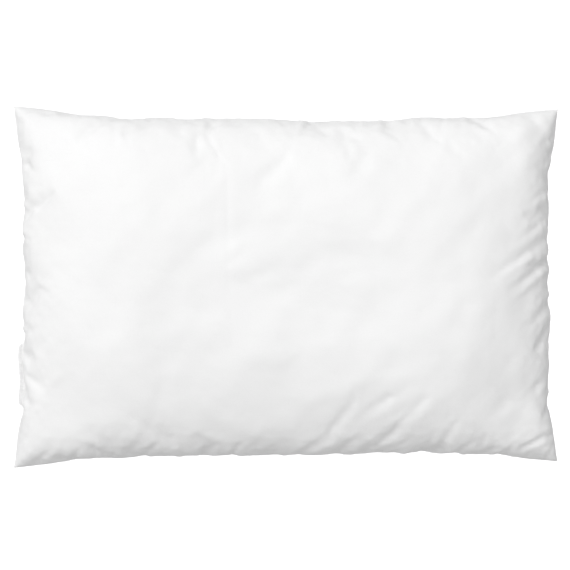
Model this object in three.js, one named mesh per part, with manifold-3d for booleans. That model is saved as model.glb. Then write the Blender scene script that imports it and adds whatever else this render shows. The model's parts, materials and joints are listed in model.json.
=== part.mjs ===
// A bed pillow lying flat: two woven cotton panels sewn right sides together and turned, stuffed with loose
// fibre through a gap that is closed by a stitched lip, with a folded care label at the seam.
// Millimetres, +Z up. The origin is on the surface that the pillow rests on, under its middle; X is the length.

import * as THREE from "three";
import { mergeGeometries, mergeVertices } from "three/addons/utils/BufferGeometryUtils.js";
import Module from "manifold-3d";

// --- Driving dimensions -----------------------------------------------------------------------------------

// Seam corners of the stuffed pillow. The cover is cut 750 x 500, and stuffing draws its corners in.
const CORNERS = {
  farLeft: new THREE.Vector2(-364, 242),
  farRight: new THREE.Vector2(364, 238),
  nearRight: new THREE.Vector2(363, -233),
  nearLeft: new THREE.Vector2(-364, -242),
};
// How far the middle of each side is pulled in from the line between its corners.
const PULL = { far: 19, near: 14, left: 17, right: 16.5 };
const PULL_POWER = 3; // the sides turn in sharply at the corners and run nearly straight between them

const LOFT = 160; // overall thickness at rest
const SEAM_HEIGHT = 66; // of the seam line at the middle of the sides
const CORNER_DROP = 26; // the empty corners hang lower than that
const BELLY_DEPTH = 76; // of the underside below the seam, if nothing held it up
const CROWN = { along: 4, across: 2.6, edge: 0.6 }; // powers of the crowned section

const CLOTH = 0.8; // one layer of cotton, thick enough for a solid
const JOIN_GAP = 0.3; // between touching layers
const SEAM_ALLOWANCE = 10; // turned inside, along the whole seam
const THREAD = 0.6; // sewing thread diameter
const STITCH_INSET = 6; // of the seam stitches from the pillow's edge
const OVERLOCK_BITE = 2.5; // how far the overlock threads reach over the raw edges

// The closed stuffing gap in the left side, along Y; each panel is folded double in it, and the stitches run
// at a share of its width out from the seam.
const LIP = { width: 7, from: -160, to: -62, thickness: 2 * CLOTH, stitches: 0.4, steps: 8 };
// The care label in the left side, with its two leaves a fold apart.
const LABEL = { width: 32, length: 50, tape: 0.3, fold: 0.4, middle: 60, drop: 1, bendSteps: 6 };

const FILLING_GAP = 0.8; // between the fibre and the cloth or thread next to it
const SLOT = { mouth: -1, depth: SEAM_ALLOWANCE + 2 }; // insets of the slot that the seam allowance lies in
const GRID = { along: 26, across: 18 };
const THREAD_SIDES = 6;

// --- Materials --------------------------------------------------------------------------------------------

const cotton = new THREE.MeshStandardMaterial({ color: 0xf3f3f3, roughness: 0.9, metalness: 0 });
const fibre = new THREE.MeshStandardMaterial({ color: 0xfafaf7, roughness: 1.0, metalness: 0 });
const thread = new THREE.MeshStandardMaterial({ color: 0xf7f7f7, roughness: 0.6, metalness: 0 });
const satinTape = new THREE.MeshStandardMaterial({ color: 0xfbfbfb, roughness: 0.45, metalness: 0 });

// --- Shape of the pillow ----------------------------------------------------------------------------------

// The size of the outline, for turning distances into shares of it.
const HALF_LENGTH = (CORNERS.farRight.x - CORNERS.farLeft.x) / 2;
const HALF_WIDTH = (CORNERS.farLeft.y - CORNERS.nearLeft.y) / 2;

// A point on one side of the outline at t from 0 to 1.
function side(start, end, pull, inwards, t) {
  const bow = 1 - Math.abs(2 * t - 1) ** PULL_POWER;
  return start.clone().lerp(end, t).addScaledVector(inwards, pull * bow);
}

// The place in plan of (u, v), each from -1 to 1, in a patch spanned by the outline's four sides.
function plan(u, v) {
  const { farLeft, farRight, nearRight, nearLeft } = CORNERS;
  const s = (u + 1) / 2;
  const t = (v + 1) / 2;
  const far = side(farLeft, farRight, PULL.far, new THREE.Vector2(0, -1), s);
  const near = side(nearLeft, nearRight, PULL.near, new THREE.Vector2(0, 1), s);
  const left = side(nearLeft, farLeft, PULL.left, new THREE.Vector2(1, 0), t);
  const right = side(nearRight, farRight, PULL.right, new THREE.Vector2(-1, 0), t);
  const lengthwise = near.lerp(far, t);
  const crosswise = left.lerp(right, s);
  const flat = nearLeft.clone().lerp(nearRight, s).lerp(farLeft.clone().lerp(farRight, s), t);
  return lengthwise.add(crosswise).sub(flat);
}

// A point on the surface that the seam lies in, moved in from the edge by an inset and raised by a lift.
function seamPoint([u, v], inset, lift) {
  const along = u * (1 - inset / HALF_LENGTH);
  const across = v * (1 - inset / HALF_WIDTH);
  const { x, y } = plan(along, across);
  return new THREE.Vector3(x, y, SEAM_HEIGHT - CORNER_DROP * along ** 2 * across ** 2 + lift);
}

// How far the section has swollen at (u, v), from 0 at the seam to 1 in the middle.
function swell(u, v) {
  const along = Math.max(0, 1 - Math.abs(u) ** CROWN.along);
  const across = Math.max(0, 1 - Math.abs(v) ** CROWN.across);
  return (along * across) ** CROWN.edge;
}

// The upper (face 1) or lower (face -1) surface of the pillow, as points for (u, v), starting from the seam's
// surface at an inset and a lift. The lower one is flat where it meets what the pillow rests on.
function surface(face, inset, lift) {
  const rise = face > 0 ? LOFT - SEAM_HEIGHT : BELLY_DEPTH;
  return (u, v) => {
    const point = seamPoint([u, v], inset, face * (lift + (rise - lift - inset) * swell(u, v)));
    point.z = Math.max(inset, point.z);
    return point;
  };
}

// --- Geometry helpers -------------------------------------------------------------------------------------

// Grid line i of n, from -1 to 1: closest together at the ends, where the section turns down to the seam.
const gridLine = (i, n) => Math.sin((Math.PI * (2 * i - n)) / (2 * n));

// A grid over the whole pillow, laid on a surface.
function blanket(onto, facingUp) {
  const { along, across } = GRID;
  const geometry = new THREE.PlaneGeometry(2, 2, along, across);
  const points = [];
  for (let row = 0; row <= across; row++) {
    for (let column = 0; column <= along; column++) {
      points.push(onto(gridLine(column, along), gridLine(across - row, across)));
    }
  }
  geometry.setFromPoints(points);
  return bare(facingUp ? geometry : turnedOver(geometry));
}

// The (u, v) places of the grid's edge, once round, anticlockwise seen from above.
function edgePlaces() {
  const { along, across } = GRID;
  const range = (n) => Array.from({ length: n }, (_, i) => i);
  return [
    ...range(along).map((i) => [gridLine(i, along), -1]),
    ...range(across).map((i) => [1, gridLine(i, across)]),
    ...range(along).map((i) => [gridLine(along - i, along), 1]),
    ...range(across).map((i) => [-1, gridLine(across - i, across)]),
  ];
}

// Faces between sections of the same number of points, which are joined in order. A ring also joins the last
// section to the first, a capped skin closes its two ends, and one that is no tube leaves each section open.
function skin(sections, { ring = false, capped = false, tube = true } = {}) {
  const size = sections[0].length;
  const index = [];
  const joints = ring ? sections.length : sections.length - 1;
  for (let i = 0; i < joints; i++) {
    const here = i * size;
    const next = ((i + 1) % sections.length) * size;
    for (let k = 0; k < (tube ? size : size - 1); k++) {
      const l = (k + 1) % size;
      index.push(here + k, here + l, next + k, here + l, next + l, next + k);
    }
  }
  if (capped) {
    const last = (sections.length - 1) * size;
    for (let k = 1; k < size - 1; k++) index.push(0, k + 1, k, last, last + k, last + k + 1);
  }
  const geometry = new THREE.BufferGeometry().setFromPoints(sections.flat());
  return geometry.setIndex(index);
}

// The geometry with every face the other way round.
function turnedOver(geometry) {
  const index = geometry.getIndex();
  for (let i = 0; i < index.count; i += 3) {
    const second = index.getX(i + 1);
    index.setX(i + 1, index.getX(i + 2));
    index.setX(i + 2, second);
  }
  return geometry;
}

// The geometry with only its positions, so that shared points can be merged.
function bare(geometry) {
  geometry.deleteAttribute("normal");
  geometry.deleteAttribute("uv");
  return geometry;
}

const joined = (...geometries) => mergeVertices(mergeGeometries(geometries), 1e-4);

// --- Booleans ---------------------------------------------------------------------------------------------

const wasm = await Module();
wasm.setup();

function toSolid(geometry) {
  const merged = mergeVertices(geometry, 1e-4);
  const vertProperties = merged.getAttribute("position").array;
  const triVerts = new Uint32Array(merged.getIndex().array);
  const solid = new wasm.Manifold(new wasm.Mesh({ numProp: 3, vertProperties, triVerts }));
  if (solid.volume() < 0) throw new Error("a solid is inside out");
  return solid;
}

function toGeometry(solid) {
  const { vertProperties, triVerts } = solid.getMesh();
  const geometry = new THREE.BufferGeometry();
  geometry.setAttribute("position", new THREE.BufferAttribute(vertProperties, 3));
  return geometry.setIndex(new THREE.BufferAttribute(triVerts, 1));
}

// --- Pieces -----------------------------------------------------------------------------------------------

const EDGE = edgePlaces();

// The part of the left side's seam that the stuffing gap takes up, from its near end to its far end.
function lipPlaces() {
  const start = LIP.from / HALF_WIDTH;
  const end = LIP.to / HALF_WIDTH;
  return Array.from({ length: LIP.steps + 1 }, (_, i) => [-1, start + ((end - start) * i) / LIP.steps]);
}

// The two folded layers of one panel that stand out past the seam where the gap is closed, rooted in its edge.
function lip(face) {
  const low = face * (JOIN_GAP / 2);
  const high = face * (JOIN_GAP / 2 + LIP.thickness);
  const sections = lipPlaces().map((place) => [
    seamPoint(place, CLOTH, low),
    seamPoint(place, CLOTH, high),
    seamPoint(place, 0, high).add(new THREE.Vector3(-LIP.width, 0, 0)),
    seamPoint(place, 0, low).add(new THREE.Vector3(-LIP.width, 0, 0)),
  ]);
  const geometry = skin(sections, { capped: true });
  return face > 0 ? turnedOver(geometry) : geometry;
}

// One cotton panel: a crowned shell whose seam allowance is turned inside, with its half of the closing lip.
function panel(face) {
  const base = JOIN_GAP / 2;
  const outside = blanket(surface(face, 0, base), face > 0);
  const inside = blanket(surface(face, CLOTH, base + CLOTH), face < 0);
  const hem = [
    EDGE.map((place) => seamPoint(place, 0, face * base)),
    EDGE.map((place) => seamPoint(place, SEAM_ALLOWANCE, face * base)),
    EDGE.map((place) => seamPoint(place, SEAM_ALLOWANCE, face * (base + CLOTH))),
    EDGE.map((place) => seamPoint(place, CLOTH, face * (base + CLOTH))),
  ];
  const sections = EDGE.map((_, i) => hem.map((loop) => loop[i]));
  const allowance = skin(sections, { ring: true, tube: false });
  const shell = joined(outside, inside, face > 0 ? allowance : turnedOver(allowance));
  return toGeometry(toSolid(shell).add(toSolid(lip(face))));
}

// A closed ring round the pillow with a section of [inset, lift] points, anticlockwise with inset to the right.
function ringOf(section) {
  const sections = EDGE.map((place) => section.map(([inset, lift]) => seamPoint(place, inset, lift)));
  return skin(sections, { ring: true });
}

// The loose fibre fill, just inside the cloth all round, with a slot where the seam allowance reaches into it.
function filling() {
  const inset = CLOTH + FILLING_GAP;
  const shape = joined(blanket(surface(1, inset, 0), true), blanket(surface(-1, inset, 0), false));
  const { mouth, depth } = SLOT;
  const half = JOIN_GAP / 2 + CLOTH + THREAD + FILLING_GAP;
  const slot = ringOf([[mouth, -half], [depth, -half], [depth, half], [mouth, half]]);
  return toGeometry(toSolid(shape).subtract(toSolid(slot)));
}

// The section of a round thread, as [inset, lift] points.
function threadSection(inset, lift) {
  return Array.from({ length: THREAD_SIDES }, (_, k) => {
    const angle = (2 * Math.PI * k) / THREAD_SIDES;
    return [inset + (THREAD / 2) * Math.cos(angle), lift + (THREAD / 2) * Math.sin(angle)];
  });
}

// The distance of a thread's middle from the seam's surface, on a layer of the given thickness.
const onTopOf = (layer) => JOIN_GAP / 2 + layer + JOIN_GAP + THREAD / 2;

// One thread of the lockstitch that joins the panels, round the whole pillow inside the seam.
function seamThread(face) {
  return ringOf(threadSection(STITCH_INSET, face * onTopOf(CLOTH)));
}

// The overlock threads, which wrap both raw edges together inside the pillow.
function overlock() {
  const inner = JOIN_GAP / 2 + CLOTH + JOIN_GAP;
  const outer = inner + THREAD;
  const mouth = SEAM_ALLOWANCE - OVERLOCK_BITE;
  const back = SEAM_ALLOWANCE + JOIN_GAP;
  return ringOf([
    [mouth, inner],
    [back, inner],
    [back, -inner],
    [mouth, -inner],
    [mouth, -outer],
    [back + THREAD, -outer],
    [back + THREAD, outer],
    [mouth, outer],
  ]);
}

// One thread of the topstitch that closes the lip.
function closingThread(face) {
  const section = threadSection(-LIP.stitches * LIP.width, face * onTopOf(LIP.thickness));
  const sections = lipPlaces().map((place) =>
    section.map(([x, lift]) => seamPoint(place, 0, lift).add(new THREE.Vector3(x, 0, 0))),
  );
  return turnedOver(skin(sections, { capped: true }));
}

// The care label: a tape folded in half, hanging from the seam by its two ends.
function careLabel() {
  const { width, length, tape, fold, middle, drop, bendSteps } = LABEL;
  const thickness = 2 * tape + fold;
  const bend = thickness / 2 - length; // height of the fold's centre
  const profile = new THREE.Shape();
  profile.moveTo(0, 0);
  profile.lineTo(0, bend);
  profile.absarc(-thickness / 2, bend, thickness / 2, 0, Math.PI, true);
  profile.lineTo(-thickness, 0);
  profile.lineTo(-thickness + tape, 0);
  profile.lineTo(-thickness + tape, bend);
  profile.absarc(-thickness / 2, bend, fold / 2, Math.PI, 0, false);
  profile.lineTo(-tape, 0);
  const across = { depth: width, bevelEnabled: false, curveSegments: bendSteps };
  const geometry = new THREE.ExtrudeGeometry(profile, across);
  const hem = seamPoint([-1, middle / HALF_WIDTH], 0, -drop);
  geometry.rotateX(Math.PI / 2);
  geometry.translate(hem.x - JOIN_GAP, middle + width / 2, hem.z);
  return geometry;
}

// --- Assembly ---------------------------------------------------------------------------------------------

const pillow = new THREE.Group();

function add(name, geometry, material) {
  const mesh = new THREE.Mesh(geometry, material);
  mesh.name = name;
  pillow.add(mesh);
}

add("front_panel", panel(1), cotton);
add("back_panel", panel(-1), cotton);
add("fibre_filling", filling(), fibre);
add("seam_needle_thread", seamThread(1), thread);
add("seam_bobbin_thread", seamThread(-1), thread);
add("overlock_thread", overlock(), thread);
add("closing_needle_thread", closingThread(1), thread);
add("closing_bobbin_thread", closingThread(-1), thread);
add("care_label", careLabel(), satinTape);

export default pillow;
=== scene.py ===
"""A stuffed bed pillow lying flat: a sewn cotton cover, its fibre filling, its stitching and its care label.

The cover is cut as two flat panels, sewn together round their edge, gathered along the seam and blown up by
its filling. Everything is in metres, with +Z up, X along the pillow's length and the floor at zero.
"""

import json
import logging
import math
from collections.abc import Iterator
from contextlib import contextmanager
from dataclasses import dataclass, field
from enum import Enum

import bpy
import numpy as np
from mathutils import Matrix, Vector

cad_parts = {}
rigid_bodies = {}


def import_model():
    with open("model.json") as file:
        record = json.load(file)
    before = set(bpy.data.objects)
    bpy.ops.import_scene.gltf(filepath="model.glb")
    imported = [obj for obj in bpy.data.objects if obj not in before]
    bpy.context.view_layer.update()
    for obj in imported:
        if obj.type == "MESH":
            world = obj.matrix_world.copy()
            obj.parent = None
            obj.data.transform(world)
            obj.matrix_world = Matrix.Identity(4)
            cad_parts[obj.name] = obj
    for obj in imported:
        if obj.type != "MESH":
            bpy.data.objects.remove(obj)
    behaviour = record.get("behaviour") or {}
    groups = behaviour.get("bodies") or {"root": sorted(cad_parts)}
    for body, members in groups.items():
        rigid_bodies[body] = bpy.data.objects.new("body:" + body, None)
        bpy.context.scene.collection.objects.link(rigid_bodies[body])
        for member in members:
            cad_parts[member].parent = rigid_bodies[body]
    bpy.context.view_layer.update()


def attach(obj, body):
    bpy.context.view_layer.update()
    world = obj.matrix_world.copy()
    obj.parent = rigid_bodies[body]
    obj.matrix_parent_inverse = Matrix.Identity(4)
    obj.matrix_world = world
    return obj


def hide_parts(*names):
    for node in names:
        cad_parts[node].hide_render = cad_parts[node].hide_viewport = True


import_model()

log = logging.getLogger("bed_pillow")

Points = np.ndarray
Piece = bpy.types.Object
Material = bpy.types.Material
Socket = bpy.types.NodeSocket

MM = 0.001
SEAM_ALLOWANCE = 10 * MM
ON_SEAM = 0.1 * MM
SEWN = 0.01 * MM
FULL_TURN = 2 * math.pi
SHARPEST_SMOOTH = math.radians(60)


class Side(Enum):
    """The two panels of the cover, by the way they face."""

    FRONT = 1
    BACK = -1


class Chance(Enum):
    """The seeds of the uneven surfaces and scattered folds."""

    CROWN = 4
    LUMPS = 5
    SMALL_LUMPS = 6
    CRUMPLES = 7
    GATHERS = 11
    PUCKERS = 23
    CLUMPS = 31


class Edge(Enum):
    """The four sides of the cover as it is cut, in the order that the seam runs round them."""

    NEAR = 0
    RIGHT = 1
    FAR = 2
    LEFT = 3

    @property
    def axis(self) -> int:
        """The axis that the side faces along: 0 for X and 1 for Y."""
        return 1 - self.value % 2

    @property
    def sign(self) -> int:
        """Which way the side faces along its axis."""
        return 1 if self in (Edge.RIGHT, Edge.FAR) else -1


# --- Modelling helpers --------------------------------------------------------------------------------------


def deselect_all() -> None:
    """Leaves object mode's selection empty."""
    bpy.ops.object.select_all(action="DESELECT")


def activate(piece: Piece) -> None:
    """Selects one object alone and makes it the active one.

    Args:
        piece: The object to work on next.
    """
    deselect_all()
    piece.select_set(True)
    bpy.context.view_layer.objects.active = piece


def read_points(piece: Piece) -> Points:
    """Reads a mesh's vertices.

    Args:
        piece: A mesh object.

    Returns:
        An array with one row of X, Y, Z for each vertex.
    """
    points = np.zeros(len(piece.data.vertices) * 3)
    piece.data.vertices.foreach_get("co", points)
    return points.reshape(-1, 3)


def write_points(piece: Piece, points: Points) -> None:
    """Moves a mesh's vertices to the given rows of X, Y, Z."""
    piece.data.vertices.foreach_set("co", points.ravel())
    piece.data.update()


def read_normals(piece: Piece) -> Points:
    """Reads the way each vertex of a mesh faces.

    Args:
        piece: A mesh object.

    Returns:
        An array with one unit row for each vertex.
    """
    normals = np.zeros(len(piece.data.vertices) * 3)
    piece.data.vertex_normals.foreach_get("vector", normals)
    return normals.reshape(-1, 3)


def read_flat(piece: Piece) -> Points:
    """Reads where each vertex lay in the cloth before it was sewn, from the cloth's own map.

    Args:
        piece: A mesh object cut from the cover's cloth.

    Returns:
        An array with one row of flat X, Y for each vertex.
    """
    layer = piece.data.uv_layers["cloth"]
    mapped = np.zeros(len(piece.data.loops) * 2)
    layer.uv.foreach_get("vector", mapped)
    corners = np.zeros(len(piece.data.loops), dtype=np.int32)
    piece.data.loops.foreach_get("vertex_index", corners)
    flat = np.zeros((len(piece.data.vertices), 2))
    flat[corners] = mapped.reshape(-1, 2)
    return flat


@contextmanager
def edit_mode(piece: Piece, first: str = "SELECT") -> Iterator[None]:
    """Opens a mesh for editing, and closes it again at the end of the block.

    Args:
        piece: The object to edit.
        first: What to do first with the whole selection, or an empty word to keep it as it is.

    Yields:
        Nothing: the block's operators act on the open mesh.
    """
    activate(piece)
    bpy.ops.object.mode_set(mode="EDIT")
    if first:
        bpy.ops.mesh.select_all(action=first)
    yield
    bpy.ops.object.mode_set(mode="OBJECT")


def apply_modifier(piece: Piece, modifier: bpy.types.Modifier) -> None:
    """Applies one modifier to the mesh that carries it."""
    activate(piece)
    bpy.ops.object.modifier_apply(modifier=modifier.name)


def thicken(piece: Piece, thickness: float, offset: float) -> None:
    """Gives a sheet its thickness.

    Args:
        piece: The sheet.
        thickness: Its thickness.
        offset: -1 to thicken it inwards, or 0 to thicken it both ways.
    """
    modifier = piece.modifiers.new("thickness", "SOLIDIFY")
    modifier.thickness = thickness
    modifier.offset = offset
    apply_modifier(piece, modifier)


def subdivide(piece: Piece) -> None:
    """Subdivides a mesh once into a smoother one.

    Args:
        piece: A mesh object.
    """
    modifier = piece.modifiers.new("finer", "SUBSURF")
    modifier.levels = modifier.render_levels = 1
    apply_modifier(piece, modifier)


def dress(piece: Piece, material: Material) -> None:
    """Gives a piece its one finish, and shades it smoothly except across its sharp edges.

    Args:
        piece: The finished mesh.
        material: Its finish.
    """
    piece.data.materials.clear()
    piece.data.materials.append(material)
    piece.data.polygons.foreach_set("material_index", [0] * len(piece.data.polygons))
    activate(piece)
    bpy.ops.object.shade_smooth_by_angle(angle=SHARPEST_SMOOTH)


def ease(share: Points) -> Points:
    """Eases shares from 0 to 1, level at both ends, and brings those outside to the ends."""
    held = np.clip(share, 0.0, 1.0)
    return held * held * (3.0 - 2.0 * held)


def undulation(places: Points, wavelength: float, seed: int, waves: int = 28) -> Points:
    """Sums seeded ripples that run in all directions into an uneven surface.

    Args:
        places: One row of X, Y for each point.
        wavelength: The usual length of a ripple.
        seed: Which of the possible surfaces to make.
        waves: How many ripples are summed.

    Returns:
        A height for each point, mostly between -2 and 2.
    """
    chance = np.random.default_rng(seed)
    total = np.zeros(len(places))
    for _ in range(waves):
        heading = chance.uniform(0, FULL_TURN)
        turns = FULL_TURN / (wavelength * chance.uniform(0.65, 1.5))
        along = places[:, 0] * math.cos(heading) + places[:, 1] * math.sin(heading)
        total += np.cos(turns * along + chance.uniform(0, FULL_TURN))
    return total / math.sqrt(waves / 2)


# --- Folds in the cloth -------------------------------------------------------------------------------------


@dataclass(frozen=True)
class Fold:
    """One straight crease or ridge in a panel, in millimetres seen from above.

    A negative depth is a valley. The fold fades from its start to its end, and one that starts at the seam
    also draws the seam in a little there. Its shoulders sink a little, over a wider strip than its body.
    """

    start: tuple[float, float]
    end: tuple[float, float]
    width: float
    depth: float
    notch: float = 0.0
    shoulder_width: float = 2.2
    shoulder_share: float = 0.35
    notch_reach: float = 1.6

    def lift(self, plan: Points) -> Points:
        """Works out how far the fold raises each point of the cloth.

        Args:
            plan: One row of X, Y for each point, in metres.

        Returns:
            The lift of each point, in metres.
        """
        along, aside = self._measure(plan)
        body = np.exp(-((aside / (self.width * MM)) ** 2))
        shoulder = np.exp(-((aside / (self.shoulder_width * self.width * MM)) ** 2))
        fade = ease(1.15 - along) * ease((along + 0.25) / 0.3)
        return self.depth * MM * fade * (body - self.shoulder_share * shoulder)

    def pull(self, plan: Points) -> Points:
        """Works out how strongly the fold draws in the seam near its start.

        Args:
            plan: One row of X, Y for each point, in metres.

        Returns:
            The pull at each point, in metres.
        """
        gap = plan - np.array(self.start) * MM
        near = np.exp(-np.sum(gap**2, axis=1) / (self.notch_reach * self.width * MM) ** 2)
        return self.notch * MM * near

    def _measure(self, plan: Points) -> tuple[Points, Points]:
        """Measures each point's share along the fold and its distance from the fold's line.

        Args:
            plan: One row of X, Y for each point, in metres.

        Returns:
            The shares along the fold, and the distances in metres.
        """
        start = np.array(self.start) * MM
        run = np.array(self.end) * MM - start
        length = np.linalg.norm(run)
        gap = plan - start
        along = gap @ run / length**2
        beyond = np.maximum(0.0, np.maximum(-along, along - 1.0)) * length
        aside = (gap[:, 0] * run[1] - gap[:, 1] * run[0]) / length
        return along, np.sqrt(aside**2 + beyond**2)


def front_folds() -> list[Fold]:
    """Lists the folds that show in the front panel, side by side round the seam and then the wide soft ones.

    Returns:
        The folds, in millimetres.
    """
    far_side = [
        Fold((-92, 221), (-106, 202), 5, -3.0, 1.5),
        Fold((-104, 200), (-77, 152), 3.2, -1.6),
        Fold((36, 219), (14, 198), 6, -3.2, 1.2),
        Fold((95, 221), (91, 203), 5, -1.8, 0.8),
        Fold((137, 223), (135, 206), 4, -1.8, 0.8),
        Fold((163, 225), (155, 213), 5, -1.6),
        Fold((208, 226), (200, 199), 5, -2.2, 1.0),
        Fold((248, 228), (240, 212), 5, -1.8, 0.8),
        Fold((268, 229), (254, 200), 5, -1.4),
    ]
    right_side = [
        Fold((340, 88), (302, 58), 6, -3.2, 1.0),
        Fold((346, 66), (256, 4), 9, -3.6, 1.2),
        Fold((322, 40), (268, 6), 5, 2.2),
        Fold((345, 36), (286, -8), 5, -3.0, 1.0),
        Fold((341, 22), (288, -22), 5, 2.4),
        Fold((348, -20), (316, -56), 6, -3.8, 1.5),
        Fold((348, -52), (330, -84), 5, -2.6, 0.8),
        Fold((350, -110), (322, -142), 6, -1.8),
        Fold((346, 130), (312, 104), 5, -1.6, 0.6),
        Fold((352, 176), (330, 150), 5, -1.4, 0.6),
    ]
    near_side = [
        Fold((352, -196), (292, -222), 5, -3.0, 0.8),
        Fold((344, -200), (316, -217), 4, 1.3),
        Fold((338, -199), (306, -218), 4, -1.8),
        Fold((344, -232), (357, -206), 4, -2.6),
        Fold((278, -226), (306, -206), 4, -2.2, 0.6),
        Fold((222, -224), (252, -198), 5, -3.2, 1.2),
        Fold((186, -224), (216, -196), 5, -3.0, 1.0),
        Fold((120, -222), (170, -198), 7, -3.0, 1.2),
        Fold((64, -221), (108, -190), 7, -3.4, 1.4),
        Fold((18, -221), (46, -198), 5, -3.0, 1.2),
        Fold((-72, -221), (-54, -199), 5, -2.6, 1.8),
        Fold((-112, -221), (-84, -202), 5, -2.4, 0.8),
        Fold((-188, -222), (-160, -200), 5, -3.0, 1.0),
        Fold((-232, -224), (-214, -206), 4, -1.8, 0.8),
        Fold((-282, -226), (-264, -205), 5, -2.4, 1.4),
        Fold((-330, -230), (-306, -214), 4, -1.6, 0.6),
    ]
    left_side = [
        Fold((-344, 163), (-328, 148), 4, -2.4, 1.0),
        Fold((-346, 116), (-330, 104), 4, -1.8, 1.2),
        Fold((-347, 66), (-328, 58), 4, -1.8, 1.2),
        Fold((-347, 20), (-322, 8), 6, -1.6),
        Fold((-347, -18), (-324, -26), 5, -1.4),
        Fold((-346, -62), (-322, -50), 5, -2.0, 1.0),
        Fold((-348, -164), (-326, -152), 5, -2.4, 1.4),
    ]
    loose = [
        Fold((134, -143), (92, -172), 7, -2.0),
        Fold((146, -148), (104, -180), 9, 0.6),
        Fold((180, -146), (138, -188), 7, -1.9),
        Fold((194, -146), (150, -186), 10, 0.5),
        Fold((300, -158), (280, -178), 9, 1.6),
        Fold((2, 166), (-42, 128), 11, -2.8),
        Fold((106, 176), (80, 126), 13, -3.2),
        Fold((204, 122), (132, 40), 16, -2.4),
        Fold((262, 96), (196, 6), 18, -1.8),
        Fold((-158, -122), (-176, -190), 10, -0.9),
        Fold((-66, -66), (-30, -128), 22, -1.0),
        Fold((-77, 158), (-70, -98), 4.0, -0.6),
        Fold((236, -20), (206, -96), 18, -1.8),
        Fold((308, 204), (316, 112), 23, 8.0),
    ]
    return far_side + right_side + near_side + left_side + loose


# --- The sewn and filled cover ------------------------------------------------------------------------------


@dataclass(frozen=True)
class Corner:
    """Where one corner of the seam lies once the pillow is filled."""

    x: float
    y: float


@dataclass(frozen=True)
class Flank:
    """How steeply a panel rises from the seam, in degrees, and how soon that eases off along the cloth."""

    rim: float
    rim_reach: float
    slope: float
    reach: float
    power: float

    def section(self, along: Points) -> tuple[Points, Points]:
        """Follows the flank's section.

        Args:
            along: Distances from the seam along the cloth.

        Returns:
            How far in and how far up or down from the seam each distance comes.
        """
        path = np.linspace(0, 0.4, 401)
        easing = np.clip(1 - path / self.reach, 0, 1) ** self.power
        angle = np.radians(self.rim * np.exp(-path / self.rim_reach) + self.slope * easing)
        lean = np.cumsum(np.cos(angle)) * path[1]
        rise = np.cumsum(np.sin(angle)) * path[1]
        return np.interp(along, path, lean - lean[0]), np.interp(along, path, rise - rise[0])


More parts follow.
